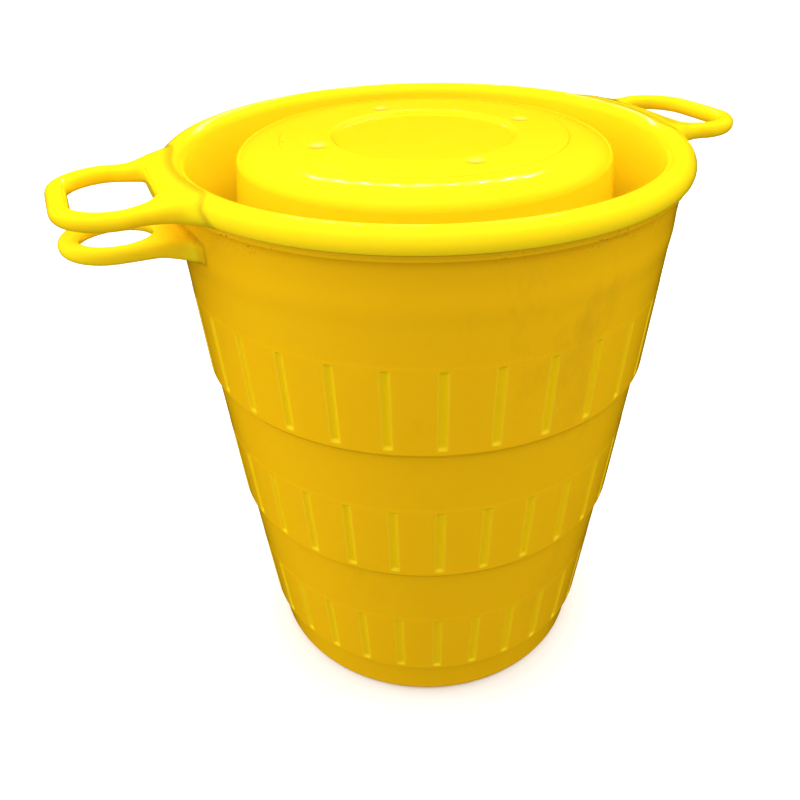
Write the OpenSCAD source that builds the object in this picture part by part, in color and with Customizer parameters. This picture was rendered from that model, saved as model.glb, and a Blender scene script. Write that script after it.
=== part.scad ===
// Hanging wasp trap in three moulded pieces: a tapered bucket, a funnel lid that drops
// into its mouth, and a rain cap pushed onto four posts over the funnel's throat.
// Millimetres, +Z up. The origin is the centre of the bucket's foot, and the hanging
// loops of the lid lie along X.

/* [Bucket] */
// Height of the bucket's rim, where the lid's lip sits
seam_z = 146; // [144:0.5:150]
// Outside radius of the wall just below the rim
wall_top_r = 62.6; // [62:0.1:62.9]
// Height of the lowest ledge, which is the top of the plain foot band
lower_ledge_z = 12.7; // [10:0.1:15]
// Height of the middle ledge
middle_ledge_z = 55.6; // [52:0.1:59]
// Height of the upper ledge
upper_ledge_z = 97.2; // [94:0.1:100]
// How far the wall steps in under each ledge
ledge_w = 0.95; // [0.5:0.05:1.4]
// Radius gained per millimetre of height above the upper ledge
upper_taper = 0.0575; // [0.05:0.0005:0.065]
// Radius gained per millimetre of height between the middle and upper ledges
middle_taper = 0.078; // [0.07:0.0005:0.085]
// Radius gained per millimetre of height below the middle ledge
lower_taper = 0.093; // [0.085:0.0005:0.1]
// Thickness of the bucket's wall
wall_t = 1.5; // [1.3:0.1:1.7]
// Thickness of the bucket's floor
floor_t = 2; // [1.6:0.1:3]

/* [Flutes] */
// Number of flutes around each tier
flute_count = 31; // [24:1:34]
// Direction of the first flute, in degrees from +X
flute_turn = -87.7; // [-92:0.1:-86]
// Length of a flute, end to end
flute_len = 21; // [16:1:26]
// Radius of the round cutter that shapes a flute
flute_r = 1.7; // [1.4:0.1:2]
// Depth of a flute below the face that it is cut in
flute_depth = 0.6; // [0.3:0.05:0.7]
// Gap between a ledge and the foot of its flutes
flute_gap = 1.3; // [0.8:0.1:3]
// How far the fluted belt of a tier stands out from the plain wall above it
belt_h = 0.12; // [0.05:0.01:0.2]

/* [Funnel lid] */
// Outside radius of the lid's rolled lip
lip_r = 65; // [64.6:0.1:66]
// Radius of the lip's rounding
lip_round = 3.5; // [3.4:0.05:3.6]
// Thickness of the funnel's wall
funnel_t = 1.5; // [1.3:0.1:1.8]
// Height of the corner between the steep gutter wall and the funnel's floor
gutter_z = 118; // [114:1:120]
// Radius of the throat that the wasps drop through
throat_r = 15; // [12:0.5:17]
// Height of the spout's lower end
spout_z = 90; // [84:1:96]

/* [Rain cap] */
// Height of the cap's flat top
cap_top_z = 151.9; // [151.2:0.1:153]
// Outside radius of the cap's skirt at its lower edge
cap_r = 48.5; // [47.6:0.1:49]
// Height of the skirt's lower edge
cap_rim_z = 128; // [126:0.5:131]
// Thickness of the cap's shell
cap_t = 1.6; // [1.4:0.1:1.8]
// Radius of the raised flat on top of the cap
cap_flat_r = 35.3; // [34:0.1:36]
// Radius of the recessed disc in the middle of the flat
cap_disc_r = 22.2; // [20:0.1:23]
// Radius of the circle that the four posts stand on
post_circle_r = 27.4; // [26.8:0.1:28.5]

/* [Hanging loops] */
// Distance from the trap's axis to the outer end of a lid loop
loop_reach = 88.8; // [87.4:0.1:90]
// Width of a lid loop's bar
loop_bar_w = 4.6; // [4:0.1:5]
// Thickness of a lid loop's bar
loop_bar_t = 3.8; // [3.4:0.1:4]
// Outside width of a lid loop
loop_w = 38.8; // [37:0.1:41]
// Height of the middle of the lid's loops
lid_loop_z = 147.3; // [147.1:0.1:147.6]
// Distance from the trap's axis to the middle of the bucket's eyelet
eyelet_x = 76.2; // [75.4:0.1:76.3]
// Outside radius of the bucket's eyelet
eyelet_r = 12.6; // [12:0.1:12.9]
// Radius of the hole in the bucket's eyelet
eyelet_hole_r = 8.1; // [7.6:0.1:8.1]
// Thickness of the bucket's eyelet
eyelet_t = 3.5; // [3:0.1:3.8]
// Height of the middle of the bucket's eyelet
eyelet_z = 137.6; // [136.6:0.1:139]

/* [Hidden] */
round_fn = 120;
small_fn = 36;
seam_gap = 0.25;        // free play between the lid's skirt and the bucket's flange
flange_t = 1.4;         // the thin flange around the bucket's rim
flange_r = 63.8;
flange_play = 0.5;      // the lid's loops keep this far out from the flange
bead_r = 62;            // the upstand that the lid's hollow lip drops over
bead_in_r = 60.6;
bead_h = 2.6;
lip_play = 0.4;         // radial play between that upstand and the lip
foot_round = 1.8;       // rounding around the foot
foot_ring_w = 3;        // the ring that the bucket stands on
foot_recess = 0.8;      // the floor stands this much above the ring
belt_over = 0.7;        // the belt runs this much past its flutes, then slopes back
belt_slope = 0.4;
swell_z = 133.8;        // middle, half height and depth of the upper wall's soft swelling
swell_half = 5;
swell_h = 0.2;
flare_r = 14;           // concave rounding where a lid loop meets the lip
neck_in = 0.8;          // a lid loop is this much narrower each side there than at its corners
loop_round = 13.3;      // outer rounding of a lid loop's two corners
hole_root_x = 67;       // the end of a lid loop's hole that is nearer the lip
hole_root_round = 4;
hole_neck_in = 1.8;     // that end of the hole is this much narrower each side
eyelet_flare_r = 5;     // concave rounding where the eyelet meets the wall
eyelet_neck = 13;       // half width of the eyelet there
root_depth = 4;         // a loop's plan runs this far into the wall
post_r = 4;             // the posts under the cap, and the spigots on top of them
spigot_r = 2.2;
spigot_play = 0.3;
socket_r = 4.2;
socket_z = 142;
socket_lead = 0.3;      // the post's shoulder stops this short of the socket, and its roof of the shell
spigot_short = 0.8;     // and the spigot ends this far under the roof
lip_rise = 5.1;         // the lip's crest above the seam
skirt_chamfer = 0.9;    // the lip's outside slopes in over this height above the seam
gutter_slope = 0.16;    // slope of the gutter's steep wall
gutter_round = 5;       // rounding between that wall and the funnel's floor
floor_fall = 12;        // drop of the funnel's floor towards the throat
throat_chamfer = 2;
throat_draft = 0.6;     // the spout narrows by this much towards its end
lip_web = 0.9;          // the gutter's wall leaves the lip this far from the lip's inner edge
lip_web_z = 4;          // and this far below the lip's middle
disc_depth = 1.1;       // depth of the recessed disc
disc_edge = 0.6;        // width of its sloping edge
flat_step = 0.7;        // drop from the cap's flat to its shoulder
flat_edge = 0.3;
shoulder_h = 4.2;       // height of the cap's rounded shoulder
shoulder_bow = 2.4;     // how square its curve is: 2 is an ellipse
skirt_draft = 2.2;      // the cap's skirt widens by this much below the shoulder
disc_web = 2;           // the shell's underside steps down this far outside the disc
dimple_r = 2.6;
dimple_depth = 0.35;

// Points on an arc from angle a0 to a1 about c.
function arc(c, r, a0, a1, n = 8) =
    [for (i = [0 : n]) c + r * [cos(a0 + (a1 - a0) * i / n), sin(a0 + (a1 - a0) * i / n)]];

// A tier is [height of its foot, radius there, height of its top, radius there, taper].
upper_r0 = wall_top_r - upper_taper * (seam_z - flange_t - upper_ledge_z);
middle_r1 = upper_r0 - ledge_w;
middle_r0 = middle_r1 - middle_taper * (upper_ledge_z - middle_ledge_z);
lower_r1 = middle_r0 - ledge_w;
lower_r0 = lower_r1 - lower_taper * (middle_ledge_z - lower_ledge_z);
foot_r1 = lower_r0 - ledge_w;
foot_r0 = foot_r1 - lower_taper * lower_ledge_z;
TIERS = [
    [lower_ledge_z, lower_r0, middle_ledge_z, lower_r1, lower_taper],
    [middle_ledge_z, middle_r0, upper_ledge_z, middle_r1, middle_taper],
    [upper_ledge_z, upper_r0, seam_z - flange_t, wall_top_r, upper_taper]
];

// ---- hanging loops ----

// One flared side of a loop's root: from the wall of radius root_r out to half width neck.
module root_flare(root_r, neck, round_r, side) {
    centre_y = neck + round_r;
    centre_x = sqrt(pow(root_r + round_r, 2) - centre_y * centre_y);
    tangent = [centre_x, centre_y] * root_r / (root_r + round_r);
    inner_x = tangent[0] - root_depth;
    difference() {
        polygon([[inner_x, 0], [centre_x, 0], [centre_x, side * neck],
                 [tangent[0], side * tangent[1]], [inner_x, side * tangent[1]]]);
        translate([centre_x, side * centre_y]) circle(r = round_r, $fn = 64);
    }
}

// Outline of a lid loop seen from above, on the +X side.
module loop_plan(root_r) {
    corner_y = loop_w / 2 - loop_round;
    corner_x = loop_reach - loop_round;
    neck = loop_w / 2 - neck_in;
    neck_x = sqrt(pow(root_r + flare_r, 2) - pow(neck + flare_r, 2)) - 1;
    difference() {
        union() {
            for (side = [-1, 1]) {
                translate([corner_x, side * corner_y]) circle(r = loop_round, $fn = 64);
                root_flare(root_r, neck, flare_r, side);
            }
            polygon([[neck_x, -neck], [corner_x, -loop_w / 2], [corner_x, loop_w / 2], [neck_x, neck]]);
            translate([corner_x, -corner_y]) square([loop_round, 2 * corner_y]);
        }
        loop_hole();
    }
}

// The hole in a lid loop: wide and round at the outer end, narrower beside the lip.
module loop_hole() {
    hole_round = loop_round - loop_bar_w;
    corner_y = loop_w / 2 - loop_round;
    corner_x = loop_reach - loop_round;
    root_x = hole_root_x + hole_root_round;
    root_y = loop_w / 2 - loop_bar_w - hole_neck_in - hole_root_round;
    hull() for (side = [-1, 1]) {
        translate([corner_x, side * corner_y]) circle(r = hole_round, $fn = 32);
        translate([root_x, side * root_y]) circle(r = hole_root_round, $fn = 32);
    }
}

// Outline of the bucket's eyelet seen from above, on the +X side.
module eyelet_plan() {
    neck_x = sqrt(pow(wall_top_r + eyelet_flare_r, 2) - pow(eyelet_neck + eyelet_flare_r, 2)) - 1;
    for (side = [-1, 1]) root_flare(wall_top_r, eyelet_neck, eyelet_flare_r, side);
    translate([eyelet_x, 0]) circle(r = eyelet_r, $fn = 64);
    polygon([[neck_x, -eyelet_neck], [eyelet_x, -eyelet_r], [eyelet_x, eyelet_r], [neck_x, eyelet_neck]]);
}

// A loop's plan as a plate: middle at height z, cut back to the wall at inner_r.
module plate(z, thick, inner_r) {
    translate([0, 0, z - thick / 2]) difference() {
        linear_extrude(thick) children();
        translate([0, 0, -1]) cylinder(r = inner_r, h = thick + 2, $fn = round_fn);
    }
}

module eyelet() {
    difference() {
        plate(eyelet_z, eyelet_t, wall_top_r - 1) eyelet_plan();
        translate([eyelet_x, 0, eyelet_z - eyelet_t])
            cylinder(r = eyelet_hole_r, h = 2 * eyelet_t, $fn = 64);
    }
}

// ---- bucket ----

function tier_r(tier, z) = tier[1] + tier[4] * (z - tier[0]);

// Outside of one tier: the fluted belt, a small step back at its top, and the plain wall.
function belt_points(tier) =
    let (top = tier[0] + flute_gap + flute_len + belt_over)
    [[tier[1] + belt_h, tier[0]], [tier_r(tier, top) + belt_h, top],
     [tier_r(tier, top + belt_slope), top + belt_slope]];

// The soft swelling around the upper wall.
swell_points = [for (k = [-1, 0, 1])
    [tier_r(TIERS[2], swell_z + k * swell_half) + (k == 0 ? swell_h : 0), swell_z + k * swell_half]];

// Outside of the wall from the foot up to the flange.
outside_points = concat(
    [[foot_r1, lower_ledge_z]],
    belt_points(TIERS[0]), [[TIERS[0][3], TIERS[0][2]]],
    belt_points(TIERS[1]), [[TIERS[1][3], TIERS[1][2]]],
    belt_points(TIERS[2]), swell_points, [[TIERS[2][3], TIERS[2][2]]]);

// Inside of the wall. It steps in a little above the outside, so that the wall keeps its thickness.
inside_points = [
    [foot_r1 - wall_t, lower_ledge_z + ledge_w],
    for (tier = TIERS) each [[tier[1] - wall_t, tier[0] + ledge_w], [tier[3] - wall_t, tier[2] + ledge_w]]
];

module bucket_wall() {
    top_z = seam_z + bead_h;
    ring_in = foot_r0 - foot_round - foot_ring_w;
    outside = concat(
        [[0, foot_recess], [ring_in, foot_recess], [ring_in + 0.6, 0]],
        arc([foot_r0 - foot_round, foot_round], foot_round, -90, 0, 5),
        outside_points,
        [[flange_r, seam_z - flange_t], [flange_r, seam_z], [bead_r, seam_z], [bead_r, top_z - 0.5],
         [bead_r - 0.5, top_z], [bead_in_r, top_z], [bead_in_r, seam_z - flange_t - 1.5]]);
    lining = concat(
        [for (i = [len(inside_points) - 2 : -1 : 0]) inside_points[i]],
        [[foot_r0 - wall_t, floor_t + 2], [foot_r0 - wall_t - 2, floor_t], [0, floor_t]]);
    rotate_extrude($fn = round_fn) polygon(concat(outside, lining));
}

// Cutter for one flute of a tier: a round bar lying along the sloping wall, square at both ends.
module flute(tier) {
    foot_z = tier[0] + flute_gap;
    x = tier_r(tier, foot_z) + belt_h + flute_r - flute_depth;
    translate([x, 0, foot_z]) rotate([0, atan(tier[4]), 0])
        cylinder(r = flute_r, h = flute_len, $fn = small_fn);
}

module bucket() {
    color([0.9, 0.72, 0.07]) {
        difference() {
            bucket_wall();
            for (tier = TIERS, i = [0 : flute_count - 1])
                rotate([0, 0, flute_turn + i * 360 / flute_count]) flute(tier);
        }
        mirror([1, 0, 0]) eyelet();
    }
}

// ---- funnel lid ----

module funnel_shell() {
    lip_z = seam_z + lip_rise - lip_round;
    lip_c = lip_r - lip_round;
    lip_in = lip_c - lip_round;
    skirt_z = seam_z + seam_gap;
    hollow_z = seam_z + bead_h + lip_play;
    web_z = lip_z - lip_web_z;
    corner_r = lip_in - lip_web - gutter_slope * (lip_z - gutter_z);
    corner = [corner_r - gutter_round, gutter_z + gutter_round];
    floor_edge = corner + gutter_round * [cos(-68), sin(-68)];
    throat_z = gutter_z - floor_fall;
    upper = concat(
        [[lip_r - skirt_chamfer - flat_edge, skirt_z], [lip_r - flat_edge, skirt_z + skirt_chamfer]],
        arc([lip_c, lip_z], lip_round, 0, 180, 12),
        [[lip_in - lip_web, web_z]],
        arc(corner, gutter_round, 0, -68, 6),
        [[throat_r + throat_chamfer, throat_z], [throat_r, throat_z - throat_chamfer],
         [throat_r - throat_draft, spout_z]]);
    lower = [
        [throat_r - throat_draft + funnel_t, spout_z],
        [throat_r + funnel_t, throat_z - throat_chamfer - funnel_t / 2],
        [throat_r + throat_chamfer + funnel_t / 2, throat_z - funnel_t],
        [floor_edge[0] + funnel_t / 2, floor_edge[1] - funnel_t],
        [corner_r + funnel_t, gutter_z + gutter_round - 1],
        [lip_in - lip_web + funnel_t, web_z],
        [lip_in + lip_web, skirt_z - 1],
        [bead_in_r - lip_play, skirt_z],
        [bead_in_r - lip_play, hollow_z],
        [bead_r + lip_play, hollow_z],
        [bead_r + lip_play, skirt_z]
    ];
    rotate_extrude($fn = round_fn) polygon(concat(upper, lower));
}

// One post: a round pillar from the funnel's floor, with a spigot that enters the cap.
module post() {
    foot_z = gutter_z - floor_fall + 0.5;
    translate([post_circle_r, 0, foot_z]) {
        cylinder(r = post_r, h = socket_z - socket_lead - foot_z, $fn = small_fn);
        cylinder(r = spigot_r, h = cap_top_z - cap_t - spigot_short - foot_z, $fn = small_fn);
    }
}

module funnel_lid() {
    color([1, 0.93, 0.1]) {
        funnel_shell();
        for (i = [0 : 3]) rotate([0, 0, 90 * i]) post();
        for (turn = [0, 180]) rotate([0, 0, turn])
            plate(lid_loop_z, loop_bar_t, flange_r + flange_play) loop_plan(lip_r - 0.4);
    }
}

// ---- rain cap ----

module cap_shell() {
    shoulder_z = cap_top_z - flat_step;
    centre = [cap_flat_r + 2 * flat_edge, shoulder_z - shoulder_h];
    bow_w = cap_r - skirt_draft - centre[0];
    disc_z = cap_top_z - disc_depth;
    bend = 2 / shoulder_bow;
    curve = function(t) [for (a = [90 : -10 : 0])
        centre + [(bow_w - t) * pow(cos(a), bend), (shoulder_h - t) * pow(sin(a), bend)]];
    under = curve(cap_t);
    outer = concat(
        [[0, disc_z], [cap_disc_r, disc_z], [cap_disc_r + disc_edge, cap_top_z],
         [cap_flat_r, cap_top_z], [cap_flat_r + flat_edge, shoulder_z]],
        curve(0),
        [[cap_r, cap_rim_z]]);
    inner = concat(
        [[cap_r - cap_t, cap_rim_z]],
        [for (i = [len(under) - 1 : -1 : 0]) under[i]],
        [[cap_disc_r + disc_web, cap_top_z - cap_t - flat_step], [cap_disc_r, disc_z - cap_t],
         [0, disc_z - cap_t]]);
    rotate_extrude($fn = round_fn) polygon(concat(outer, inner));
}

module rain_cap() {
    ball_r = (dimple_r * dimple_r + dimple_depth * dimple_depth) / (2 * dimple_depth);
    roof_z = cap_top_z - cap_t - socket_lead;
    color([1, 0.98, 0.15]) difference() {
        union() {
            cap_shell();
            for (i = [0 : 3]) rotate([0, 0, 90 * i]) translate([post_circle_r, 0, socket_z])
                cylinder(r = socket_r, h = roof_z + 1 - socket_z, $fn = small_fn);
        }
        for (i = [0 : 3]) rotate([0, 0, 90 * i]) {
            translate([post_circle_r, 0, socket_z - 1])
                cylinder(r = spigot_r + spigot_play, h = roof_z + 1 - socket_z, $fn = small_fn);
            translate([post_circle_r, 0, cap_top_z + ball_r - dimple_depth])
                sphere(r = ball_r, $fn = small_fn);
        }
    }
}

bucket();
funnel_lid();
rain_cap();
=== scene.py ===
"""Looks of the hanging wasp trap: fine meshes for its three mouldings, their plastic, and the studio."""

import math

import bmesh
import bpy
import numpy as np
from mathutils import Matrix, Vector


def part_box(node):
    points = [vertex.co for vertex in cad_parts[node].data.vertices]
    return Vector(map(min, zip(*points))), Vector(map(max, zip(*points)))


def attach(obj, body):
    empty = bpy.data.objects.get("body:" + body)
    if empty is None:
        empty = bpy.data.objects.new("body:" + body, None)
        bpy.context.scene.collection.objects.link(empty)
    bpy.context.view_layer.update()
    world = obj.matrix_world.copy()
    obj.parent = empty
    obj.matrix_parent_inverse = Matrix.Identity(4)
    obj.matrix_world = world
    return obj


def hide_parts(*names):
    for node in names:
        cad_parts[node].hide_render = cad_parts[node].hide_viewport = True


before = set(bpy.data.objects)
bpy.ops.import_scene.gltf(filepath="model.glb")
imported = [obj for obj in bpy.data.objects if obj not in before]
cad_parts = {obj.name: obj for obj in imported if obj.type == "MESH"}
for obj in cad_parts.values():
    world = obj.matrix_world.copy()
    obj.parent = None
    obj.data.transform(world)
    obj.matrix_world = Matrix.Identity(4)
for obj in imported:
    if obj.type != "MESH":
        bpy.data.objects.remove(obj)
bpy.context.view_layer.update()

# ---- sizes, in millimetres: the outer ones come from the frame ----
MM = 0.001
lid_low, lid_high = (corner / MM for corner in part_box("funnel_lid"))
cap_low, cap_high = (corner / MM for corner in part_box("rain_cap"))
bucket_low, bucket_high = (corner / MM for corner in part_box("bucket"))

LIP_R = lid_high.y                  # outside radius of the rolled lip
LIP_TOP = lid_high.z                # crest of the lip
LIP_ROUND = 3.5                     # radius of the lip's round section
SEAM_Z = LIP_TOP - 5.1              # top of the bucket's flange
SEAM_GAP = 0.12                     # between the flange and the lid's skirt
WALL_R = 62.6                       # outside of the bucket's wall under the flange
WALL_T = 1.5                        # thickness of the bucket's wall
FLOOR_Z = (0.8, 2.0)                # underside and top of the bucket's floor
FLANGE_R = 63.8
FLANGE_T = 1.4
BEAD_R = 62.0                       # the upstand on the bucket's rim, outside and inside
BEAD_IN_R = 60.6
BEAD_TOP = bucket_high.z
BEAD_PLAY = 0.4                     # between the upstand and the lid
LEDGES = (12.7, 55.6, 97.2)         # heights of the three ledges
LEDGE_W = 0.95                      # how far a ledge stands out
LEDGE_LEAN = 1.3                    # how far the underside of a ledge slopes
TAPERS = (0.093, 0.078, 0.0575)     # radius gained per millimetre above each ledge
FLUTES = 31
FLUTE_TURN = math.radians(-87.7)    # direction of the first flute, from +X
FLUTE_LEN = 21.0
FLUTE_HALF_W = 1.08                 # half the width of a flute
FLUTE_FOOT = 1.0                    # the foot of a flute slopes out to the face over this height
FLUTE_R = 1.6                       # radius of the groove's round section
FLUTE_DEPTH = 0.42
FLUTE_GAP = 1.3                     # between a ledge and the foot of its flutes
BELT_H = 0.06                       # how far a fluted belt stands out from the wall above it
BELT_TOP = FLUTE_GAP + FLUTE_LEN + 0.7     # top of a fluted belt above its ledge
SWELL_Z = 133.8                     # a soft swelling around the upper wall
SWELL_HALF = 5.0
SWELL_H = 0.2

CAP_TOP = cap_high.z
CAP_RIM = cap_low.z
CAP_R = cap_high.y - 0.02           # outside radius of the cap's rim
CAP_T = 1.6
DISC_DEPTH = 0.8                    # the recessed disc in the middle of the cap's top
DISC_R = 22.2
FLAT_R = 35.3                       # edge of the flat top, which stands a little above the shoulder
FLAT_H = 0.5
SHOULDER_H = 4.3
SHOULDER_BEND = 2 / 2.4             # 1 would make the shoulder a quarter of an ellipse
SKIRT_DRAFT = 2.2                   # how much wider the rim is than the skirt's top
POST_CIRCLE = 27.4                  # radius on which the four posts stand
POST_R = 4.0
SPIGOT_R = 2.2                      # thinner top end of a post, which goes into the cap's socket
POST_SHOULDER_Z = 141.7
SOCKET_R = 4.2
SOCKET_BORE_R = 2.5
SOCKET_Z = 142.0                    # lower end of a socket
DIMPLE_R = 2.7
DIMPLE_DEPTH = 0.35
GUTTER_Z = 118.0                    # the gutter's floor where it meets its wall
GUTTER_STEEP = 0.16                 # how much the gutter's wall comes in per millimetre down
GUTTER_ROUND = 5.0
LID_T = 1.5                         # thickness of the funnel
THROAT_R = 15.0
THROAT_Z = GUTTER_Z - 12
POST_FOOT_Z = GUTTER_Z - 11.5       # lower end of the posts
SPOUT_Z = lid_low.z

# Loops. z, thick: middle height and thickness. reach, width, bar, round: tip, width, bar width, corner rounding.
# neck, flare: half width at the root and the concave rounding there. end: how far the bar runs into the wall.
# hole: its root end's X, rounding and corner Y, or None for a round hole. rise, sink, drop: see loop_distance.
# blend: width of the filled corner. fade: it fades in between these distances out from root_r. top_share: its
# share on top of the loop.
LID_LOOP = {"root_r": LIP_R - 0.4, "z": 147.3, "thick": 3.8, "reach": lid_high.x, "width": 38.8, "bar": 4.6,
            "round": 13.3, "neck": 18.6, "flare": 14.0, "hole": (67.0, 4.0, 9.0), "end": 4.85,
            "rise": 1.7, "sink": 1.2, "drop": 0.0, "blend": 3.4, "fade": (-4.1, -0.1), "top_share": 0.45}
EYELET = {"root_r": WALL_R, "z": 137.6, "thick": 3.5, "reach": -bucket_low.x, "width": 25.2, "bar": 4.5,
          "round": 12.6, "neck": 13.0, "flare": 5.0, "hole": None, "end": 0.8,
          "rise": 0.0, "sink": 0.0, "drop": 2.0, "blend": 2.4, "fade": (-0.9, -0.2), "top_share": 0.5}
TIP_FADE = 9.0                      # a loop's rise and filling fade out over this towards the tips of its root
ROOT_TAPER = 8.0                    # a loop grows thicker over this towards the wall
RIM_DIP = 0.03                      # how deep the edge of a loop's own mesh lies under the body it joins

SOFT = {"bucket": 0.35, "lid": 0.3, "cap": 0.45}       # rounding of each section's corners
SIDES = {"lid": 288, "cap": 320, "post": 40}           # sides of each round body


# ---- outlines ----
def arc(centre, radius, start, end, steps):
    """Points on an arc, angles in degrees, both ends included."""
    angles = np.radians(np.linspace(start, end, steps + 1))
    return [(centre[0] + radius * math.cos(a), centre[1] + radius * math.sin(a)) for a in angles]


def resample(points, step):
    """The same closed outline with no side longer than step."""
    out = []
    for a, b in zip(points, points[1:] + points[:1]):
        pieces = max(1, math.ceil(math.dist(a, b) / step))
        out += [(a[0] + (b[0] - a[0]) * i / pieces, a[1] + (b[1] - a[1]) * i / pieces) for i in range(pieces)]
    return out


def softened(points, radius, steps=4):
    """A closed outline with each corner sharper than 20 degrees rounded, as far as its sides allow.
    A point is added beside each bend on its long sides, so that they stay flat when shaded."""
    sharp, bent, beside, long_side = math.radians(20), math.radians(2), 0.25, 3
    out = []
    count = len(points)
    for i in range(count):
        before, here, after = (np.array(points[j % count], float) for j in (i - 1, i, i + 1))
        a, b = before - here, after - here
        la, lb = np.linalg.norm(a), np.linalg.norm(b)
        a, b = a / la, b / lb
        turn = math.pi - math.acos(np.clip(a @ b, -1, 1))
        cut = min(radius * math.tan(turn / 2), 0.45 * la, 0.45 * lb) if turn > sharp else 0.0
        if turn > bent and la > long_side:
            out.append(tuple(here + a * (cut + beside)))
        if cut:
            out += [tuple(here + a * cut * (1 - t) ** 2 + b * cut * t ** 2)
                    for t in np.linspace(0, 1, steps + 1)]
        else:
            out.append(tuple(here))
        if turn > bent and lb > long_side:
            out.append(tuple(here + b * (cut + beside)))
    return out


def outline_distance(points, outline):
    """Signed distance from 2-D points to a closed outline: negative inside."""
    best = np.full(len(points), 1e9)
    sign = np.ones(len(points))
    for a, b in zip(outline, outline[1:] + outline[:1]):
        edge = np.array(b) - np.array(a)
        rel = points - np.array(a)
        t = np.clip(rel @ edge / max(edge @ edge, 1e-12), 0, 1)
        best = np.minimum(best, ((rel - t[:, None] * edge) ** 2).sum(1))
        above_a = points[:, 1] >= a[1]
        below_b = points[:, 1] < b[1]
        left = edge[0] * rel[:, 1] > edge[1] * rel[:, 0]
        sign[(above_a & below_b & left) | (~above_a & ~below_b & ~left)] *= -1
    return sign * np.sqrt(best)


def tier_radius(tier, z):
    """Outside radius of the bucket's wall at height z, on tier 0 (lowest), 1 or 2."""
    top_r, top_z = WALL_R, SEAM_Z - FLANGE_T
    for k in (2, 1, 0):
        if k == tier:
            return top_r - TAPERS[k] * (top_z - z)
        top_r -= TAPERS[k] * (top_z - LEDGES[k]) + LEDGE_W
        top_z = LEDGES[k]
    return top_r - TAPERS[0] * (top_z - z)      # the foot band, tier -1


def wall_line(tier):
    """Outside of one tier, upwards: fluted belt, its step back, plain wall, and the top tier's swelling."""
    foot = LEDGES[tier]
    top = LEDGES[tier + 1] - LEDGE_LEAN if tier < 2 else SEAM_Z - FLANGE_T

    def wall(z, out=0.0):
        return tier_radius(tier, z) + out, z

    line = [wall(foot, BELT_H)]
    line += [wall(foot + h, BELT_H) for h in belt_heights()]
    line += [wall(foot + BELT_TOP, BELT_H), wall(foot + BELT_TOP + 0.4)]
    if tier == 2:
        for t in np.linspace(-1, 1, 17):
            line.append(wall(SWELL_Z + t * SWELL_HALF, SWELL_H * math.cos(t * math.pi / 2) ** 2))
    return line + [wall(top)]


def belt_heights():
    """Rows of a belt above its ledge, crowded at both ends of the flutes."""
    foot = np.array([-0.25, -0.08, 0.04, 0.2, 0.4, 0.6, 0.8, 1.0, 1.15, 1.4])
    head = np.array([-0.25, -0.08, 0.04, 0.14, 0.26, 0.4, 0.6, 0.9])
    low, high = FLUTE_GAP, FLUTE_GAP + FLUTE_LEN
    return [*(low + foot), *np.linspace(low + 2.4, high - 2, 8), *(high - head[::-1])]


def bucket_outline():
    """Closed section of the bucket: (radius, height) from the middle of the underside, outwards and up."""
    foot_r = tier_radius(-1, 0)
    outside = [(0, FLOOR_Z[0]), (foot_r - 5.0, FLOOR_Z[0]), (foot_r - 4.2, 0.0)]
    outside += arc((foot_r - 1.8, 1.8), 1.8, -90, 0, 6)
    outside += [(tier_radius(-1, LEDGES[0] - LEDGE_LEAN), LEDGES[0] - LEDGE_LEAN)]
    for tier in (0, 1, 2):
        outside += wall_line(tier)
    outside += [(FLANGE_R, SEAM_Z - FLANGE_T), (FLANGE_R, SEAM_Z), (BEAD_R, SEAM_Z),
                (BEAD_R, BEAD_TOP), (BEAD_IN_R, BEAD_TOP), (BEAD_IN_R, SEAM_Z - 3)]
    inside = []
    for tier in (2, 1, 0):
        top = LEDGES[tier + 1] + 1.5 if tier < 2 else SEAM_Z - 4
        low = LEDGES[tier] + 2.5
        inside += [(tier_radius(tier, top) - WALL_T, top), (tier_radius(tier, low) - WALL_T, low)]
    inside += [(tier_radius(-1, LEDGES[0]) - WALL_T, LEDGES[0]), (tier_radius(-1, 5) - WALL_T, 5)]
    inside += [(foot_r - 4.5, FLOOR_Z[1]), (0, FLOOR_Z[1])]
    return outside, inside


def lid_outline():
    """Closed section of the lid: the lip from the skirt's inside over the crest, the funnel, and back."""
    centre = (LIP_R - LIP_ROUND, LIP_TOP - LIP_ROUND)
    inner_r = centre[0] - LIP_ROUND
    corner_r = inner_r - 0.9 - GUTTER_STEEP * (centre[1] - GUTTER_Z)
    skirt_z = SEAM_Z + SEAM_GAP
    bead_in_r, bead_r, bead_top = BEAD_IN_R - BEAD_PLAY, BEAD_R + BEAD_PLAY, BEAD_TOP + BEAD_PLAY
    upper = [(LIP_R - 1.6, skirt_z), (LIP_R - 1.1, skirt_z + 0.1)]
    upper += arc(centre, LIP_ROUND, -18, 165, 28)
    upper += [(inner_r - 0.5, centre[1] - 2.0), (inner_r - 1.3, centre[1] - 6)]
    upper += arc((corner_r - GUTTER_ROUND, GUTTER_Z + GUTTER_ROUND), GUTTER_ROUND, -8, -68, 8)
    upper += [(THROAT_R + 3, THROAT_Z + 0.2), (THROAT_R + 1, THROAT_Z - 0.8), (THROAT_R, THROAT_Z - 3),
              (THROAT_R - 0.6, SPOUT_Z)]
    lower = [(THROAT_R - 0.6 + LID_T, SPOUT_Z), (THROAT_R + LID_T, THROAT_Z - 3.5),
             (THROAT_R + 3.2, THROAT_Z - 1.4), (corner_r - 2.6, GUTTER_Z - 1.2),
             (corner_r + LID_T - 0.2, GUTTER_Z + 3.5), (inner_r + 0.3, centre[1] - 6),
             (inner_r + 0.7, skirt_z - 0.8), (bead_in_r, skirt_z), (bead_in_r, bead_top),
             (bead_r, bead_top), (bead_r, skirt_z)]
    return upper, lower


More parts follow.
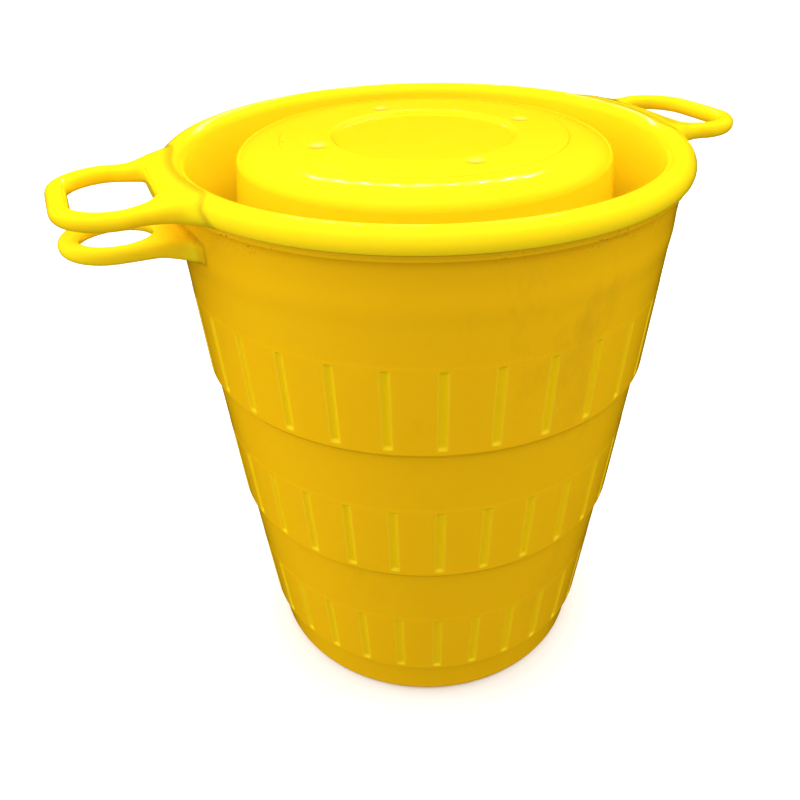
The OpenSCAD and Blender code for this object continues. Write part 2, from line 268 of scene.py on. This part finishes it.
def cap_outline():
    """Closed section of the rain cap, from the middle of its top outwards and down, and back inside."""
    shoulder_z = CAP_TOP - FLAT_H
    centre = (FLAT_R + 0.8, shoulder_z - SHOULDER_H)
    bow = (CAP_R - SKIRT_DRAFT - centre[0], SHOULDER_H)

    def shoulder(inwards):
        angles = np.radians(np.linspace(90, 0, 31))
        return [(centre[0] + (bow[0] - inwards) * abs(math.cos(a)) ** SHOULDER_BEND,
                 centre[1] + (bow[1] - inwards) * math.sin(a) ** SHOULDER_BEND) for a in angles]

    disc_z = CAP_TOP - DISC_DEPTH
    outer = [(0, disc_z), (DISC_R - 0.3, disc_z), (DISC_R + 0.9, CAP_TOP), (FLAT_R, CAP_TOP),
             (FLAT_R + 0.35, shoulder_z + 0.02)]
    outer += shoulder(0) + [(CAP_R, CAP_RIM)]
    inner = [(CAP_R - CAP_T, CAP_RIM)] + shoulder(CAP_T)[::-1]
    roof_z = CAP_TOP - CAP_T
    inner += [(DISC_R + 2, roof_z - 0.7), (DISC_R, roof_z - 1.1), (0, roof_z - 1.1)]
    return outer, inner


# ---- meshes ----
def new_object(name, points, faces):
    """A smooth-shaded mesh object from points in millimetres."""
    mesh = bpy.data.meshes.new(name)
    mesh.from_pydata((np.asarray(points) * MM).tolist(), [], faces)
    mesh.validate()
    mesh.shade_smooth()
    obj = bpy.data.objects.new(name, mesh)
    bpy.context.scene.collection.objects.link(obj)
    return obj


def spun(section, angles, shift=None):
    """Points and faces of a section of (radius, height) turned about Z. Ends on the axis close with fans.
    angles is a list of angles, or a function that gives it for a radius."""
    at = angles if callable(angles) else lambda radius: np.asarray(angles)
    on_axis = [abs(r) < 1e-6 for r, z in section]
    rows, starts, total = [], [], 0
    for (r, z), axis in zip(section, on_axis):
        turn = np.zeros(1) if axis else at(r)
        rows.append(np.stack([r * np.cos(turn), r * np.sin(turn), np.full(len(turn), z)], 1))
        starts.append(total)
        total += len(turn)
    n = max(len(row) for row in rows)
    points = np.concatenate(rows)
    if shift is not None:
        points = shift(points)
    faces = []
    for i, j in zip(range(len(section)), [*range(1, len(section)), 0]):
        a, b = starts[i], starts[j]
        for k in range(n):
            m = (k + 1) % n
            if on_axis[i] and on_axis[j]:
                continue
            if on_axis[i]:
                faces.append((a, b + k, b + m))
            elif on_axis[j]:
                faces.append((a + m, a + k, b))
            else:
                faces.append((a + k, b + k, b + m, a + m))
    return points, faces


def even_angles(count):
    """Angles of count equal steps round a circle."""
    return [2 * math.pi * i / count for i in range(count)]


def flute_columns(radius):
    """Angles round the bucket, crowded at the flutes' edges, which stay the same width at every height."""
    edge = FLUTE_HALF_W
    near = np.array([0, 0.3, 0.6, 0.82, edge - 0.12, edge - 0.04, edge + 0.04, edge + 0.16, 1.8, 3.2])
    offsets = np.concatenate([-near[:0:-1], near]) / max(radius, 44.0)
    half_pitch = math.pi / FLUTES
    middles = FLUTE_TURN + 2 * half_pitch * np.arange(FLUTES)
    return np.concatenate([[m - half_pitch, *(m + offsets)] for m in middles])


def from_flute(points):
    """How far points round the bucket are from the middle line of the nearest flute, and their radius."""
    r = np.hypot(points[:, 0], points[:, 1])
    pitch = 2 * math.pi / FLUTES
    turn = (np.arctan2(points[:, 1], points[:, 0]) - FLUTE_TURN) / pitch
    return np.abs(turn - np.round(turn)) * pitch * r, r


def cut_flutes(points):
    """Presses the flutes into the bucket's outside: round grooves, square on top, with a sloping foot."""
    aside, r = from_flute(points)
    groove = np.sqrt(FLUTE_R ** 2 - np.minimum(aside, FLUTE_HALF_W) ** 2) - (FLUTE_R - FLUTE_DEPTH)
    for tier in range(3):
        up = points[:, 2] - LEDGES[tier]
        outer = np.abs(r - tier_radius(tier, points[:, 2]) - BELT_H) < 0.05
        ends = np.clip((up - FLUTE_GAP) / FLUTE_FOOT, 0, 1) * np.clip((FLUTE_GAP + FLUTE_LEN - up) / 0.3, 0, 1)
        depth = np.clip(groove, 0, 1) * ends * outer * (up > 0) * (up < BELT_TOP)
        points[:, :2] *= (1 - depth / np.maximum(r, 1))[:, None]
    return points


def vertices_of(obj):
    """The corners of an object's mesh, in millimetres."""
    points = np.empty(len(obj.data.vertices) * 3)
    obj.data.vertices.foreach_get("co", points)
    return points.reshape(-1, 3) / MM


def set_mark(obj, name, values):
    """Stores a number from 0 to 1 at each corner, which the material reads."""
    obj.data.attributes.new(name, "FLOAT", "POINT").data.foreach_set("value", np.clip(values, 0, 1))


def mark_bucket(obj):
    """Marks for the material: painted glow in the flutes, painted highlights on the flutes' edges and feet and
    on the flange's edge, painted light on the eyelet, which lies in shade, and dirt at the seam.
    """
    points = vertices_of(obj)
    aside, r = from_flute(points)
    thin, edge = np.zeros(len(points)), np.zeros(len(points))
    for tier in range(3):
        up = points[:, 2] - LEDGES[tier]
        outer = np.abs(r - tier_radius(tier, points[:, 2])) < 0.75
        along = outer * (up > FLUTE_GAP - 0.1) * (up < FLUTE_GAP + FLUTE_LEN + 0.1)
        # painted glow: the flutes are made brighter and more orange, as light through their thinner plastic
        # would make them
        thin += along * np.clip((FLUTE_HALF_W - aside) / 0.3, 0, 1)
        # painted highlights along both edges of each flute, and at its foot, where light catches
        edge += along * np.clip(1 - np.abs(aside - FLUTE_HALF_W) / 0.2, 0, 1)
        edge += outer * (aside < FLUTE_HALF_W) * np.clip(1 - np.abs(up - FLUTE_GAP - 0.4) / 0.7, 0, 1)
    # painted highlight along the flange's upper edge
    edge += (np.abs(r - FLANGE_R) < 0.4) * (np.abs(points[:, 2] - SEAM_Z) < 0.3)
    set_mark(obj, "thin", thin)
    set_mark(obj, "edge", edge)
    # painted light: the eyelet is lightened to undo the shade of the lid's loop above it
    beside = (np.abs(points[:, 2] - EYELET["z"]) < 5) * (points[:, 0] < 0)
    set_mark(obj, "eyelet_light", beside * np.clip((r - WALL_R - 0.15) / 0.6, 0, 1))
    from_seam = np.abs(points[:, 2] - SEAM_Z + FLANGE_T)
    set_mark(obj, "seam", (r > WALL_R - 1) * np.clip(1 - from_seam / 2.5, 0, 1))


# ---- blended loops, made as the zero surface of a distance field ----
def loop_plan(shape):
    """Outline and hole of a loop seen from above, on the +X side of its wall."""
    root_r = shape["root_r"]
    corner = (shape["reach"] - shape["round"], shape["width"] / 2 - shape["round"])
    flare = shape["flare"]
    flare_y = shape["neck"] + flare
    flare_x = math.sqrt((root_r + flare) ** 2 - flare_y ** 2)
    reach = math.degrees(math.atan2(flare_y, flare_x))
    half = [(root_r * math.cos(math.radians(reach)) - 4, root_r * math.sin(math.radians(reach)))]
    half += arc((flare_x, flare_y), flare, 180 + reach, 270, 10)
    half += arc(corner, shape["round"], 92, 0, 14)
    outline = [(x, -y) for x, y in half] + half[::-1]
    hole_r = shape["round"] - shape["bar"]
    if shape["hole"] is None:
        return outline, arc(corner, hole_r, 0, 350, 35)
    root_x, root_round, root_y = shape["hole"]
    half = arc((root_x + root_round, root_y), root_round, 180, 100, 6)
    half += arc(corner, hole_r, 98, 0, 12)
    hole = [(x, -y) for x, y in half] + half[::-1]
    return outline, hole


def smooth_step(value, low, high):
    """0 up to low, 1 from high, and a smooth rise between them."""
    t = np.clip((value - low) / (high - low), 0, 1)
    return t * t * (3 - 2 * t)


def root_tip(shape):
    """How far to the side the tips of a loop's root lie."""
    return (shape["neck"] + shape["flare"]) * shape["root_r"] / (shape["root_r"] + shape["flare"])


def loop_distance(points, shape, plan):
    """Signed distance to a loop: a flat bar with well rounded edges, which ends inside the wall.
    Near the wall its top rises by shape["rise"] and its underside drops by shape["drop"]; towards the
    tips of the root its top sinks by shape["sink"]."""
    outline, hole = plan
    flat = np.maximum(outline_distance(points[:, :2], outline), -outline_distance(points[:, :2], hole))
    r = np.hypot(points[:, 0], points[:, 1])
    flat = np.maximum(flat, shape["root_r"] - shape["end"] - r)
    rounding = shape["thick"] / 2 - 0.15
    across = flat + rounding
    near = smooth_step(-r, -shape["root_r"] - ROOT_TAPER, 1.5 - shape["root_r"])
    middle = smooth_step(-np.abs(points[:, 1]), -root_tip(shape), TIP_FADE - root_tip(shape))
    rise = shape["rise"] * near * middle - shape["sink"] * (1 - middle)
    lifted = points[:, 2] - shape["z"]
    up = np.maximum(lifted - rise, -lifted - shape["drop"] * near) - (shape["thick"] / 2 - rounding)
    outside = np.hypot(np.maximum(across, 0), np.maximum(up, 0))
    return outside + np.minimum(np.maximum(across, up), 0) - rounding


def smooth_union(a, b, k):
    """The smaller of two distances, with the corner between them filled over a width k."""
    h = np.maximum(k - np.abs(a - b), 0) / np.maximum(k, 1e-6)
    return np.minimum(a, b) - h * h * k / 4


def zero_surface(field, low, high, step):
    """Quads of the surface field = 0 in a box: one point in each cell that it crosses, moved onto it."""
    axes = [np.arange(a, b + step, step) for a, b in zip(low, high)]
    shape = tuple(len(a) for a in axes)
    grid = np.stack(np.meshgrid(*axes, indexing="ij"), -1).reshape(-1, 3)
    inside = (field(grid) < 0).reshape(shape)
    cells = tuple(n - 1 for n in shape)
    filled = sum(inside[i:i + cells[0], j:j + cells[1], k:k + cells[2]].astype(int)
                 for i in (0, 1) for j in (0, 1) for k in (0, 1))
    crossed = (filled > 0) & (filled < 8)
    number = np.full(cells, -1)
    number[crossed] = np.arange(crossed.sum())
    points = np.argwhere(crossed) * step + np.array([a[0] for a in axes]) + step / 2
    faces = []
    for axis in range(3):
        one, two = [k for k in range(3) if k != axis]
        swap = np.diff(inside.astype(int), axis=axis)
        for cell in np.argwhere(swap != 0):
            if min(cell[one], cell[two]) < 1 or cell[one] >= cells[one] or cell[two] >= cells[two]:
                continue
            quad = []
            for da, db in ((-1, -1), (0, -1), (0, 0), (-1, 0)):
                at = cell.copy()
                at[one] += da
                at[two] += db
                quad.append(int(number[tuple(at)]))
            outward = (swap[tuple(cell)] < 0) == (axis != 1)
            faces.append(quad if outward else quad[::-1])
    faces = np.array(faces)
    edges = np.unique(np.sort(np.concatenate([faces[:, [i, (i + 1) % 4]] for i in range(4)]), axis=1), axis=0)
    for turn in range(12):
        points = onto_surface(field, points)
        if turn < 8:
            total = np.zeros_like(points)
            count = np.zeros(len(points))
            for a, b in ((0, 1), (1, 0)):
                np.add.at(total, edges[:, a], points[edges[:, b]])
                np.add.at(count, edges[:, a], 1)
            points = (points + total / count[:, None]) / 2
    return points, faces


def slope_of(field, points, tiny=0.01):
    """The gradient of a field at each point."""
    steps = [field(points + tiny * axis) - field(points - tiny * axis) for axis in np.eye(3)]
    return np.stack(steps, 1) / (2 * tiny)


def onto_surface(field, points):
    """One Newton step of each point towards field = 0."""
    slope = slope_of(field, points)
    return points - (field(points) / np.maximum((slope ** 2).sum(1), 0.05))[:, None] * slope


def blended_loop(name, section, shape, side, step=0.6):
    """A loop on the +X (side 1) or -X side (side -1), with the filled corner where it meets the body turned
    from a section. The filling fades in outwards, fades out towards the tips of the root, and is narrower
    on top of the loop."""
    root_r, z, blend = shape["root_r"], shape["z"], shape["blend"]
    section = [p for p in resample(section, 3) if p[0] > root_r - 14 and abs(p[1] - z) < 10]
    plan = loop_plan(shape)
    tip_y = root_tip(shape)

    def body(points):
        return outline_distance(np.stack([np.hypot(points[:, 0], points[:, 1]), points[:, 2]], 1), section)

    def loop(points):
        return loop_distance(points, shape, plan)

    def width(points):
        out = smooth_step(np.hypot(points[:, 0], points[:, 1]) - root_r, *shape["fade"])
        middle = smooth_step(-np.abs(points[:, 1]), -tip_y - 0.5, TIP_FADE - tip_y - 0.5)
        above = np.clip((points[:, 2] - z) / 1.5, 0, 1)
        return blend * out * middle * (1 + (shape["top_share"] - 1) * above)

    def field(points):
        return smooth_union(body(points), loop(points), width(points))

    half_y = tip_y + blend + 2
    half_z = shape["thick"] / 2 + blend
    points, faces = zero_surface(field, (root_r - 10, -half_y, z - half_z),
                                 (shape["reach"] + 1, half_y, z + half_z + 1), step)
    bare = loop(points) - body(points) > width(points)
    for _ in range(2):                       # two rings of cells past the filling, then nothing
        touched = np.zeros(len(points), bool)
        touched[faces[~bare[faces].all(1)]] = True
        rim, bare = bare & touched, bare & ~touched
    kept = faces[~bare[faces].any(1)]
    points[rim] -= RIM_DIP * slope_of(body, points[rim])
    used = np.unique(kept)
    renumber = np.full(len(points), -1)
    renumber[used] = np.arange(len(used))
    points = points[used]
    points[:, :2] *= side
    return new_object(name, points, renumber[kept].tolist())


def joined(name, pieces):
    """One object from several, which are then gone."""
    bm = bmesh.new()
    for piece in pieces:
        bm.from_mesh(piece.data)
    mesh = bpy.data.meshes.new(name)
    bm.to_mesh(mesh)
    bm.free()
    for piece in pieces:
        bpy.data.objects.remove(piece)
    mesh.shade_smooth()
    obj = bpy.data.objects.new(name, mesh)
    bpy.context.scene.collection.objects.link(obj)
    return obj


def post_places():
    """The four places of the posts and sockets: (x, y)."""
    turns = [k * math.pi / 2 for k in range(4)]
    return [(POST_CIRCLE * math.cos(a), POST_CIRCLE * math.sin(a)) for a in turns]


def pillars(name, section):
    """A section turned about Z, once at each place of a post."""
    points, faces = spun(section, even_angles(SIDES["post"]))
    return [new_object(name, points + (x, y, 0), faces) for x, y in post_places()]


def make_bucket():
    outside, inside = bucket_outline()
    section = softened(outside + inside, SOFT["bucket"])
    points, faces = spun(section, flute_columns, cut_flutes)
    shell = new_object("bucket_shell", points, faces)
    made = joined("trap_bucket", [shell, blended_loop("eyelet", section, EYELET, -1)])
    mark_bucket(made)
    return made


def make_lid():
    upper, lower = lid_outline()
    section = softened(upper + lower, SOFT["lid"])
    points, faces = spun(section, even_angles(SIDES["lid"]))
    pieces = [new_object("lid_shell", points, faces)]
    pieces += [blended_loop("lid_loop", section, LID_LOOP, side) for side in (1, -1)]
    post = [(0, POST_FOOT_Z), (POST_R, POST_FOOT_Z), (POST_R, POST_SHOULDER_Z), (SPIGOT_R, POST_SHOULDER_Z),
            (SPIGOT_R, CAP_TOP - 2.6), (0, CAP_TOP - 2.4)]
    return joined("trap_lid", pieces + pillars("post", post))


def from_post(points):
    """How far points are, seen from above, from the nearest place of a post."""
    return np.min([np.hypot(points[:, 0] - x, points[:, 1] - y) for x, y in post_places()], axis=0)


def dimple_cap(points):
    """Four shallow sink marks in the cap's flat, over its sockets."""
    top = points[:, 2] > CAP_TOP - 0.5
    dent = DIMPLE_DEPTH * np.clip(1 - (from_post(points) / DIMPLE_R) ** 2, 0, 1) ** 2
    points[:, 2] -= np.where(top, dent, 0)
    return points


def make_cap():
    outer, inner = cap_outline()
    rows = [(r, CAP_TOP) for r in np.linspace(DISC_R + 2, FLAT_R - 1, 26)]
    outer = outer[:3] + rows + outer[3:]
    section = softened(outer + inner, SOFT["cap"])
    points, faces = spun(section, even_angles(SIDES["cap"]), dimple_cap)
    roof = CAP_TOP - CAP_T + 0.2
    socket = [(SOCKET_R, SOCKET_Z), (SOCKET_R, roof), (SOCKET_BORE_R, roof), (SOCKET_BORE_R, SOCKET_Z)]
    made = joined("trap_cap", [new_object("cap_shell", points, faces)] + pillars("socket", socket))
    mark_cap(made)
    return made


def mark_cap(obj):
    """Says where the cap's top is painted darker, for the material: a darker tone in the recessed disc, and
    painted shade in the four sink marks.
    """
    points = vertices_of(obj)
    top = points[:, 2] > CAP_TOP - 1.2
    # a darker tone in the recessed disc
    disc = 0.3 * np.clip((DISC_R + 0.6 - np.hypot(points[:, 0], points[:, 1])) / 0.8, 0, 1)
    # painted shade in the sink marks over the sockets
    sinks = np.clip(1.3 - from_post(points) / 2.2, 0, 1)
    set_mark(obj, "recess_dark", np.maximum(disc, sinks) * top)


# ---- materials ----
SPECK = (0.2, 0.12, 0.01, 1)        # colours over the plastic's own
CRUMB = (0.2, 0.11, 0.01, 1)
SMUDGE = (0.42, 0.25, 0.01, 1)
EYELET_LIGHT = (0.98, 0.7, 0.01, 1)         # painted light on the eyelet, which lies in the shade of the lid's loop above
FLUTE_GLOW = (1.0, 0.6, 0.003, 1)         # painted glow of light coming through the flutes' thinner plastic
EDGE_HIGHLIGHT = (1.0, 0.72, 0.03, 1)       # painted highlights on the flutes' edges and feet and on the flange's edge
RECESS_DARK = (0.86, 0.46, 0.003, 1)       # darker tone in the cap's recessed disc, painted shade in its sink marks


class Nodes:
    """Short calls for building a material's nodes."""

    def __init__(self, name):
        self.material = bpy.data.materials.new(name)
        self.material.use_nodes = True
        self.tree = self.material.node_tree
        self.shader = self.tree.nodes["Principled BSDF"]
        self.coords = self.tree.nodes.new("ShaderNodeTexCoord").outputs["Object"]

    def add(self, kind, inputs=(), **settings):
        node = self.tree.nodes.new("ShaderNode" + kind)
        for key, value in settings.items():
            setattr(node, key, value)
        for key, value in dict(inputs).items():
            if isinstance(value, bpy.types.NodeSocket):
                self.tree.links.new(value, node.inputs[key])
            else:
                node.inputs[key].default_value = value
        return node

    def noise(self, scale, detail=3.0, roughness=0.5, coords=None):
        return self.add("TexNoise", {"Vector": coords or self.coords, "Scale": scale, "Detail": detail,
                                     "Roughness": roughness}).outputs["Fac"]

    def mark(self, name):
        return self.add("Attribute", attribute_name=name).outputs["Fac"]

    def stretched(self, scale):
        return self.add("Mapping", {"Vector": self.coords, "Scale": scale}).outputs["Vector"]

    def ramp(self, value, low, high, to=(0.0, 1.0)):
        return self.add("MapRange", {"Value": value, "From Min": low, "From Max": high, "To Min": to[0],
                                     "To Max": to[1]}).outputs["Result"]

    def maths(self, kind, a, b):
        return self.add("Math", {0: a, 1: b}, operation=kind).outputs[0]

    def mix(self, share, a, b):
        return self.add("Mix", {"Factor": share, "A": a, "B": b}, data_type="RGBA").outputs["Result"]


def yellow_plastic(name, base, dark, dirt=0.0):
    """Moulded yellow polypropylene: faint flow marks, fine orange peel, scuffs, and some dirt; on the bucket and
    cap also painted glow, highlights, light and shade from their marks.
    """
    n = Nodes(name)
    flow = n.noise(9.0, 4.0, 0.55)
    fine = n.noise(160.0, 3.0)
    share = n.ramp(flow, 0.35, 0.65, (0.0, 0.6))
    colour = n.mix(share, (*base, 1), (*dark, 1))
    specks = n.add("TexVoronoi", {"Vector": n.coords, "Scale": 95.0}, feature="F1")
    seldom = n.ramp(specks.outputs["Distance"], 0.03, 0.055, (1.0, 0.0))
    patch = n.ramp(n.noise(14.0, 2.0), 0.56, 0.64)
    speck_share = n.maths("MULTIPLY", seldom, patch)
    colour = n.mix(n.maths("MULTIPLY", speck_share, 0.7), colour, SPECK)
    # on the bucket: dirt, then the painted glow, highlights and light from its marks
    if dirt:
        up = n.add("SeparateXYZ", {"Vector": n.coords}).outputs["Z"]
        smudge = n.ramp(n.noise(26.0, 6.0, 0.7, n.stretched((1, 1, 0.5))), 0.56, 0.78)
        smudge = n.maths("MULTIPLY", smudge, n.ramp(up, 0.09, 0.125, (0.45, 1.0)))
        colour = n.mix(n.maths("MULTIPLY", smudge, dirt), colour, SMUDGE)
        grains, clusters = n.ramp(n.noise(1400.0, 2.0), 0.62, 0.7), n.ramp(n.noise(22.0, 2.0), 0.52, 0.62)
        crumbs = n.maths("MULTIPLY", n.maths("MULTIPLY", grains, clusters), 0.75)
        colour = n.mix(n.maths("MULTIPLY", crumbs, n.mark("seam")), colour, CRUMB)
        # painted light on the shaded eyelet
        colour = n.mix(n.mark("eyelet_light"), colour, EYELET_LIGHT)
        # painted glow in the flutes
        colour = n.mix(n.mark("thin"), colour, FLUTE_GLOW)
        # painted highlights on the flute edges and feet and on the flange's edge
        colour = n.mix(n.maths("MULTIPLY", n.mark("edge"), 0.5), colour, EDGE_HIGHLIGHT)
    # painted shade in the cap's sink marks, and a darker tone in its recessed disc
    colour = n.mix(n.maths("MULTIPLY", n.mark("recess_dark"), 0.75), colour, RECESS_DARK)
    n.tree.links.new(colour, n.shader.inputs["Base Color"])
    n.tree.links.new(n.ramp(fine, 0.3, 0.7, (0.07, 0.12)), n.shader.inputs["Roughness"])
    n.shader.inputs["IOR"].default_value = 1.49
    n.shader.inputs["Specular IOR Level"].default_value = 0.35
    n.shader.inputs["Subsurface Weight"].default_value = 0.35
    n.shader.inputs["Subsurface Radius"].default_value = (1.0, 0.6, 0.05)
    n.shader.inputs["Subsurface Scale"].default_value = 0.004
    peel = n.noise(420.0, 2.0)
    scratch = n.noise(30.0, 6.0, 0.65, n.stretched((6, 6, 0.6)))
    height = n.maths("ADD", n.maths("MULTIPLY", peel, 0.35), n.maths("MULTIPLY", scratch, 0.65))
    bump = n.add("Bump", {"Height": height, "Strength": 0.1, "Distance": 0.0004})
    n.tree.links.new(bump.outputs["Normal"], n.shader.inputs["Normal"])
    return n.material


# ---- the trap ----
bucket = make_bucket()
lid = make_lid()
cap = make_cap()
for piece, node, slot, base, dark, dirt in (
    (bucket, "bucket", "bucket_plastic", (0.95, 0.505, 0.004), (0.93, 0.48, 0.003), 0.5),
    (lid, "funnel_lid", "lid_plastic", (0.93, 0.66, 0.008), (0.92, 0.63, 0.006), 0.0),
    (cap, "rain_cap", "cap_plastic", (0.92, 0.62, 0.008), (0.91, 0.59, 0.006), 0.0),
):
    piece.data.materials.append(yellow_plastic("yellow_" + node, base, dark, dirt))
    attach(piece, node)
    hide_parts(node)


# ---- studio ----
VIEW_TURN = -114.8                  # direction of the camera from the trap, in degrees from +X
AIM = Vector((0, 0, 0.1))           # the lights point at the trap's upper half
LIGHT_AWAY = 1.2                    # metres from there to each light
BOX_SIZE = (0.8, 0.8)
LAMP_SIZE = (0.02, 0.02)
LAMP_STEP = 3.5                     # degrees between the small lamps
FLOOR_HALF = 8.0                    # metres
FLOOR_DROP = 0.0002                 # the floor lies this far under the trap


def make_floor():
    """A plain whitish floor that shows in no reflection and throws no light back."""
    mesh = bpy.data.meshes.new("floor")
    corners = [(x * FLOOR_HALF, y * FLOOR_HALF, 0) for x, y in ((-1, -1), (1, -1), (1, 1), (-1, 1))]
    mesh.from_pydata(corners, [], [(0, 1, 2, 3)])
    floor = bpy.data.objects.new("floor", mesh)
    bpy.context.scene.collection.objects.link(floor)
    n = Nodes("floor_paper")
    grey = n.ramp(n.noise(3.0), 0.3, 0.7, (0.80, 0.82))
    n.tree.links.new(grey, n.shader.inputs["Base Color"])
    n.shader.inputs["Roughness"].default_value = 0.9
    floor.data.materials.append(n.material)
    floor.location.z = -FLOOR_DROP
    floor.visible_glossy = False
    floor.visible_diffuse = False


def place_light(light, rotation, at=(0, 0, 0), glossy=False):
    """Puts a light in the scene. It shows in reflections only if glossy."""
    obj = bpy.data.objects.new(light.name, light)
    obj.location = at
    obj.rotation_euler = rotation
    obj.visible_glossy = glossy
    bpy.context.scene.collection.objects.link(obj)


def area_light(name, turn, lift, size, power, glossy=False):
    """A rectangular light of (width, height), turn degrees round from +X, lift degrees up."""
    light = bpy.data.lights.new(name, "AREA")
    light.shape = "RECTANGLE"
    light.size, light.size_y = size
    light.energy = power
    a, b = math.radians(turn), math.radians(lift)
    way = Vector((math.cos(b) * math.cos(a), math.cos(b) * math.sin(a), math.sin(b)))
    place_light(light, way.to_track_quat("Z", "Y").to_euler(), way * LIGHT_AWAY + AIM, glossy)


def sky_light(name, tilt, turn, spread, strength):
    """A distant round light: tilt degrees from overhead towards the direction turn, spread degrees across."""
    light = bpy.data.lights.new(name, "SUN")
    light.energy = strength
    light.angle = math.radians(spread)
    place_light(light, (0, math.radians(tilt), math.radians(turn + 180)))


def soft_boxes():
    """Soft lights to the left, right and front of the trap, as the camera sees it."""
    area_light("left_box", VIEW_TURN - 95, 15, BOX_SIZE, power=6.5)
    area_light("right_box", VIEW_TURN + 100, 15, BOX_SIZE, power=4.0)
    area_light("front_box", VIEW_TURN - 25, 30, BOX_SIZE, power=3.0)


def lamp_row():
    """Small lamps in a row behind the trap, which give its rounded edges their broken white highlights."""
    for k in range(-4, 5):
        area_light("lamp", VIEW_TURN + 180 + LAMP_STEP * k, 31, LAMP_SIZE, power=0.06, glossy=True)


def make_camera():
    """The view from the front and above, with the loops' line turned 23 degrees from the picture plane."""
    turn = math.radians(23.4)
    place = Vector((-4.8, -197.26, 202.58)) * MM
    pitch, yaw, roll = 0.58195, -0.01286, -0.02391
    forward = Vector((math.sin(yaw) * math.cos(pitch), math.cos(yaw) * math.cos(pitch), -math.sin(pitch)))
    right = Vector((math.cos(yaw), -math.sin(yaw), 0))
    up = right.cross(forward)
    right, up = (right * math.cos(roll) + up * math.sin(roll), up * math.cos(roll) - right * math.sin(roll))
    pose = Matrix((right, up, -forward)).transposed().to_4x4()
    pose.translation = place
    data = bpy.data.cameras.new("camera")
    data.sensor_width = 36
    data.lens = 35.1
    data.clip_start = 0.005
    camera = bpy.data.objects.new("camera", data)
    camera.matrix_world = Matrix.Rotation(-turn, 4, "Z") @ pose
    bpy.context.scene.collection.objects.link(camera)
    bpy.context.scene.camera = camera


def make_world():
    """An even white surround, which shows in no reflection."""
    world = bpy.data.worlds.new("studio")
    world.use_nodes = True
    background = world.node_tree.nodes["Background"]
    background.inputs["Color"].default_value = (1, 1, 1, 1)
    background.inputs["Strength"].default_value = 0.52
    world.cycles_visibility.glossy = False
    bpy.context.scene.world = world


make_floor()
make_camera()
make_world()
sky_light("key_above", tilt=12, turn=VIEW_TURN, spread=110, strength=4.1)
soft_boxes()
lamp_row()
bpy.context.scene.view_settings.view_transform = "Standard"
